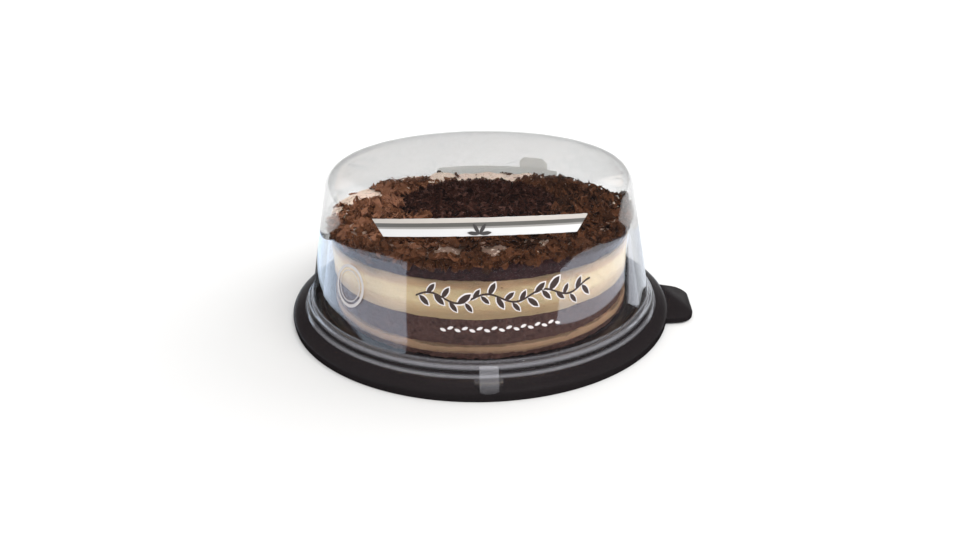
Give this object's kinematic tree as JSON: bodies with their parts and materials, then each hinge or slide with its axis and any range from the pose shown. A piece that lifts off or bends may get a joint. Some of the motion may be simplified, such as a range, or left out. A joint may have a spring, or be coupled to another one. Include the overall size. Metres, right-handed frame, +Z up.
{
  "type": "packed black forest cake",
  "caption": "Round layered chocolate and cream cake topped with chocolate flakes, shut in its black round tray under a clear domed lid with plain labels.",
  "frame": {"origin": "on the ground under the middle of the pack's outline, its side tab included", "axes": "+Z up; the front of the pack, with the top label and the lid's lug, faces -Y; the tray's tab is on the +X side"},
  "size_m": [0.2192, 0.2077, 0.08],
  "materials": {
    "black_tray": "glossy formed black plastic sheet",
    "clear_lid": "clear glossy formed plastic, a little hazy at its bends",
    "chocolate_sponge": "soft open crumb, dark chocolate brown",
    "coffee_cream": "satin cream, tan",
    "vanilla_cream": "satin cream, pale yellow with tan edges",
    "whipped_cream": "soft whipped cream, warm white",
    "chocolate_flakes": "matt milk chocolate with satin curls",
    "dark_shavings": "matt dark chocolate shavings",
    "label_paper": "white semi-gloss paper",
    "label_film": "clear satin film with a plain printed ornament"
  },
  "bodies": {
    "root": {"base_tray": "black_tray", "lid_dome": "clear_lid", "sponge_bottom": "chocolate_sponge", "cream_lower": "coffee_cream", "sponge_middle": "chocolate_sponge", "cream_middle": "vanilla_cream", "sponge_top": "chocolate_sponge", "cream_top": "whipped_cream", "flakes_rim": "chocolate_flakes", "shavings_centre": "dark_shavings", "label_top": "label_paper", "label_side": "label_film", "label_back": "label_paper"}
  },
  "joints": []
}
